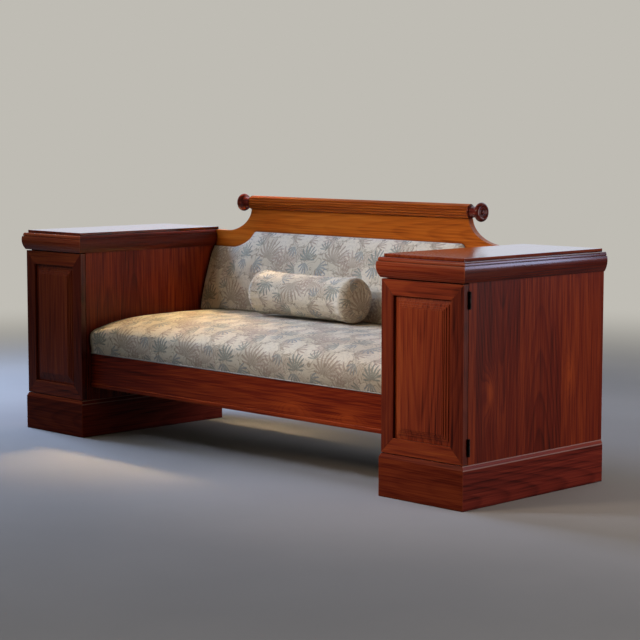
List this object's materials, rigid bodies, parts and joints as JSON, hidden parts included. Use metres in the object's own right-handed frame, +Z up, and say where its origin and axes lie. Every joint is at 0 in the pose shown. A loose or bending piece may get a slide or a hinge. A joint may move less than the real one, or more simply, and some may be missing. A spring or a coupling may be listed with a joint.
{
  "type": "sofa",
  "caption": "Empire sofa with cupboard pedestals for arms, a sprung upholstered seat, a leaning padded back with a shaped board and reeded crest, and a loose bolster.",
  "frame": {"origin": "on the floor, under the middle of the sofa's box", "axes": "+X along the seat towards the right-hand pedestal as one faces the sofa's front from outside, +Y from the front to the back, +Z up"},
  "size_m": [2.336, 0.7506, 0.9409],
  "materials": {
    "case_wood_level": "red-brown stained hardwood with level grain, satin varnish",
    "case_wood_upright": "red-brown stained hardwood with upright grain, satin varnish",
    "panel_wood": "red-brown stained hardwood with cathedral grain, satin varnish",
    "moulding_wood": "dark red-brown stained hardwood, polished",
    "honey_wood": "honey-brown stained hardwood, satin varnish",
    "knob_wood": "turned, dark stained and polished",
    "inner_wood": "plain sawn hardwood, waxed",
    "tapestry": "woven tapestry with a leaf pattern",
    "jute_webbing": "woven jute strap",
    "hinge_iron": "blackened steel",
    "steel": "plain bright steel"
  },
  "bodies": {
    "sofa_frame": {"left_plinth_front": "case_wood_level", "left_plinth_outer": "case_wood_level", "left_plinth_inner": "case_wood_level", "left_outer_side": "case_wood_upright", "left_inner_side": "case_wood_upright", "left_carcase_back": "inner_wood", "left_floor_board": "inner_wood", "left_top_board": "inner_wood", "left_shelf": "inner_wood", "left_cap_slab": "case_wood_level", "left_cap_front_moulding": "moulding_wood", "left_cap_outer_moulding": "moulding_wood", "left_cap_inner_moulding": "moulding_wood", "right_plinth_front": "case_wood_level", "right_plinth_outer": "case_wood_level", "right_plinth_inner": "case_wood_level", "right_outer_side": "case_wood_upright", "right_inner_side": "case_wood_upright", "right_carcase_back": "inner_wood", "right_floor_board": "inner_wood", "right_top_board": "inner_wood", "right_shelf": "inner_wood", "right_cap_slab": "case_wood_level", "right_cap_front_moulding": "moulding_wood", "right_cap_outer_moulding": "moulding_wood", "right_cap_inner_moulding": "moulding_wood", "hinge_frame_leaves": "hinge_iron", "hinge_frame_screws": "hinge_iron", "hinge_pins": "hinge_iron", "door_catches": "steel", "seat_front_rail": "case_wood_level", "seat_rail_bead": "case_wood_level", "seat_back_rail": "inner_wood", "seat_end_rails": "inner_wood", "seat_webbing": "jute_webbing", "seat_springs": "steel", "seat_cushion": "tapestry", "frame_bolts": "steel", "backboard": "honey_wood", "crest_rail": "honey_wood", "left_crest_knob": "knob_wood", "right_crest_knob": "knob_wood", "back_pad": "tapestry"},
    "left_door": {"left_door_hinge_stile": "case_wood_upright", "left_door_free_stile": "case_wood_upright", "left_door_top_rail": "case_wood_level", "left_door_foot_rail": "case_wood_level", "left_door_panel": "panel_wood", "left_hinge_door_leaves": "hinge_iron", "left_hinge_door_screws": "hinge_iron", "left_door_strike": "steel"},
    "right_door": {"right_door_hinge_stile": "case_wood_upright", "right_door_free_stile": "case_wood_upright", "right_door_top_rail": "case_wood_level", "right_door_foot_rail": "case_wood_level", "right_door_panel": "panel_wood", "right_hinge_door_leaves": "hinge_iron", "right_hinge_door_screws": "hinge_iron", "right_door_strike": "steel"},
    "bolster": {"bolster": "tapestry"}
  },
  "joints": [
    {"name": "left_door_hinge", "type": "hinge", "parent": "sofa_frame", "child": "left_door", "pos_m": [-1.1588, -0.33813, 0.43275], "axis": [0, 0, -1], "range_deg": [0, 180]},
    {"name": "right_door_hinge", "type": "hinge", "parent": "sofa_frame", "child": "right_door", "pos_m": [1.1588, -0.33813, 0.43275], "axis": [0, 0, 1], "range_deg": [0, 180]},
    {"name": "bolster_lift", "type": "slide", "parent": "sofa_frame", "child": "bolster", "axis": [0, 0, 1], "range_m": [0, 0.25]}
  ]
}
